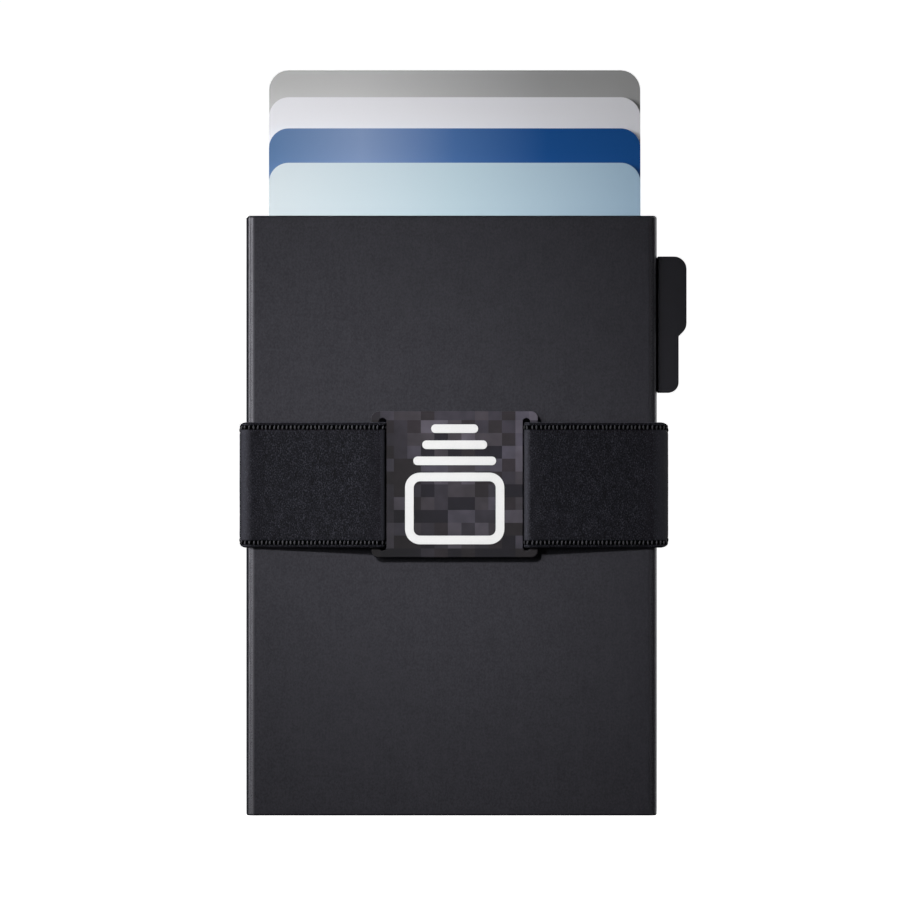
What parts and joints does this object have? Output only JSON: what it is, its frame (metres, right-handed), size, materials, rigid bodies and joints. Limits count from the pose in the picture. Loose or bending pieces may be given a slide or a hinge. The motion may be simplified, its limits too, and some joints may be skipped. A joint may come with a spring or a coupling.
{
  "type": "minimalist wallet",
  "caption": "Slim black metal pop-up card case with a side thumb tab, fanned cards, and an elastic band threaded through a printed plate.",
  "frame": {"origin": "centre of the case's lower end face", "axes": "+X towards the thumb tab, -Y out of the front face, +Z the way the cards leave"},
  "size_m": [0.0649, 0.0134, 0.1083],
  "materials": {
    "anodised_case": "bead blasted and anodised black, satin",
    "black_steel": "black oxide, satin",
    "black_plastic": "moulded, matt",
    "grey_plastic": "moulded, satin",
    "spring_steel": "bright spring steel",
    "bare_steel": "turned, bright",
    "sheet_steel": "stamped sheet, satin",
    "tab_plastic": "moulded, matt",
    "elastic": "woven elastic, slight sheen",
    "thread": "polyester thread",
    "printed_plate": "printed with dark grey squares, matt",
    "white_print": "raised white print, satin",
    "light_blue_card": "laminated, satin",
    "navy_card": "laminated, satin",
    "white_card": "laminated, satin",
    "grey_card": "laminated, satin"
  },
  "bodies": {
    "case": {"case_shell": "anodised_case", "bottom_cap": "anodised_case", "cap_screws": "black_steel", "card_tray": "black_plastic", "card_spring": "spring_steel", "slider_spring": "spring_steel", "pivot_pin": "bare_steel"},
    "slider": {"slide_plate": "sheet_steel", "drive_pin": "bare_steel", "thumb_tab": "tab_plastic", "tab_rivets": "black_steel"},
    "fan_bar": {"fan_bar": "sheet_steel"},
    "lifter_front": {"lifter_front": "grey_plastic"},
    "lifter_second": {"lifter_second": "grey_plastic"},
    "lifter_third": {"lifter_third": "grey_plastic"},
    "lifter_rear": {"lifter_rear": "grey_plastic"},
    "card_light_blue": {"card_light_blue": "light_blue_card"},
    "card_navy": {"card_navy": "navy_card"},
    "card_white": {"card_white": "white_card"},
    "card_grey": {"card_grey": "grey_card"},
    "band": {"elastic_band": "elastic", "band_stitching": "thread", "band_plate": "printed_plate", "plate_emblem": "white_print"}
  },
  "joints": [
    {"name": "thumb_slide", "type": "slide", "parent": "case", "child": "slider", "axis": [0, 0, 1], "range_m": [-0.0042, 0]},
    {"name": "fan_bar_pivot", "type": "hinge", "parent": "case", "child": "fan_bar", "pos_m": [0.026, 0.002, 0.015], "axis": [0, 1, 0], "range_deg": [-24.48, 0]},
    {"name": "lifter_front_slide", "type": "slide", "parent": "case", "child": "lifter_front", "axis": [0, 0, 1], "range_m": [-0.0077, 0]},
    {"name": "lifter_second_slide", "type": "slide", "parent": "case", "child": "lifter_second", "axis": [0, 0, 1], "range_m": [-0.01273, 0]},
    {"name": "lifter_third_slide", "type": "slide", "parent": "case", "child": "lifter_third", "axis": [0, 0, 1], "range_m": [-0.01727, 0]},
    {"name": "lifter_rear_slide", "type": "slide", "parent": "case", "child": "lifter_rear", "axis": [0, 0, 1], "range_m": [-0.02122, 0]},
    {"name": "card_light_blue_pull", "type": "slide", "parent": "lifter_front", "child": "card_light_blue", "axis": [0, 0, 1], "range_m": [0, 0.088]},
    {"name": "card_navy_pull", "type": "slide", "parent": "lifter_second", "child": "card_navy", "axis": [0, 0, 1], "range_m": [0, 0.088]},
    {"name": "card_white_pull", "type": "slide", "parent": "lifter_third", "child": "card_white", "axis": [0, 0, 1], "range_m": [0, 0.088]},
    {"name": "card_grey_pull", "type": "slide", "parent": "lifter_rear", "child": "card_grey", "axis": [0, 0, 1], "range_m": [0, 0.088]},
    {"name": "band_pull_off", "type": "slide", "parent": "case", "child": "band", "axis": [0, 0, -1], "range_m": [0, 0.06], "stiffness_N_per_m": 100}
  ],
  "couplings": [
    {"joint": "fan_bar_pivot", "follows": "thumb_slide", "rad_per_m": 101.73},
    {"joint": "lifter_front_slide", "follows": "thumb_slide", "ratio": 1.8333},
    {"joint": "lifter_second_slide", "follows": "thumb_slide", "ratio": 3.0309},
    {"joint": "lifter_third_slide", "follows": "thumb_slide", "ratio": 4.1119},
    {"joint": "lifter_rear_slide", "follows": "thumb_slide", "ratio": 5.0524}
  ]
}
